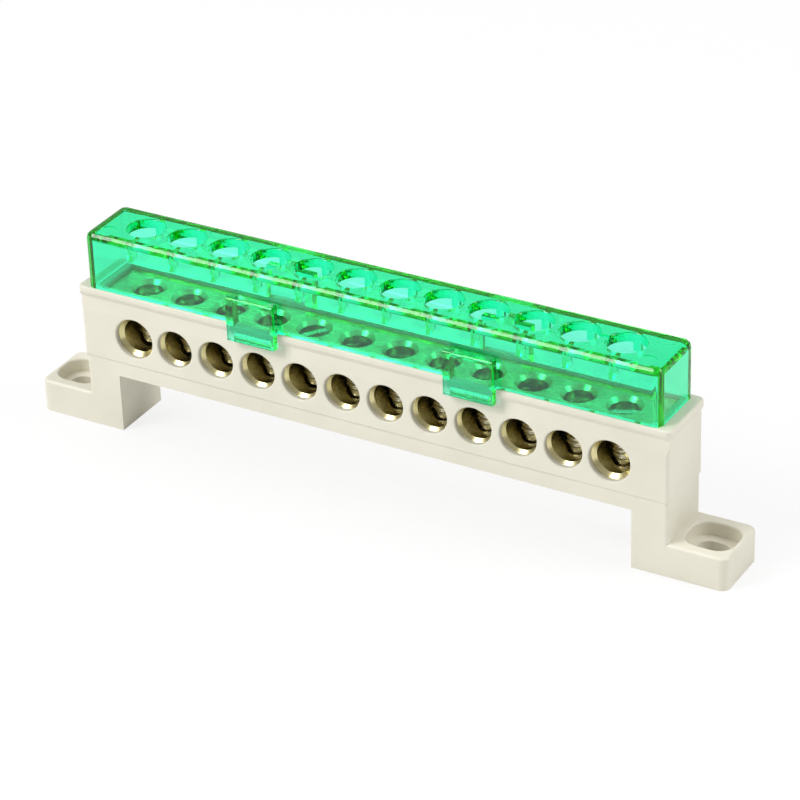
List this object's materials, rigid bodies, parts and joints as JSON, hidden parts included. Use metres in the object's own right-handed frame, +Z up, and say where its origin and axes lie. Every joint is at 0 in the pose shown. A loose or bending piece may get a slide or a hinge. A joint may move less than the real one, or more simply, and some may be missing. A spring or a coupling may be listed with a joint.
{
  "type": "earth terminal bar",
  "caption": "Brass earth bar with a row of clamp screws in a bridge-shaped ivory base with slotted feet, under a clear green clip-on cover.",
  "frame": {"origin": "midway between the two feet, on the surface that they stand on", "axes": "+X along the bar, +Y from the wire side to the back, +Z up from the feet to the cover"},
  "size_m": [0.1362, 0.016, 0.0387],
  "materials": {
    "housing": "satin ivory moulding",
    "terminal_bar": "bright drawn brass with machined bores",
    "cover": "clear green moulding, polished",
    "screws": "zinc-plated"
  },
  "bodies": {
    "root": {"base": "housing", "bar": "terminal_bar", "cover": "cover", "screw_1": "screws", "screw_2": "screws", "screw_3": "screws", "screw_4": "screws", "screw_5": "screws", "screw_6": "screws", "screw_7": "screws", "screw_8": "screws", "screw_9": "screws", "screw_10": "screws", "screw_11": "screws", "screw_12": "screws"}
  },
  "joints": []
}
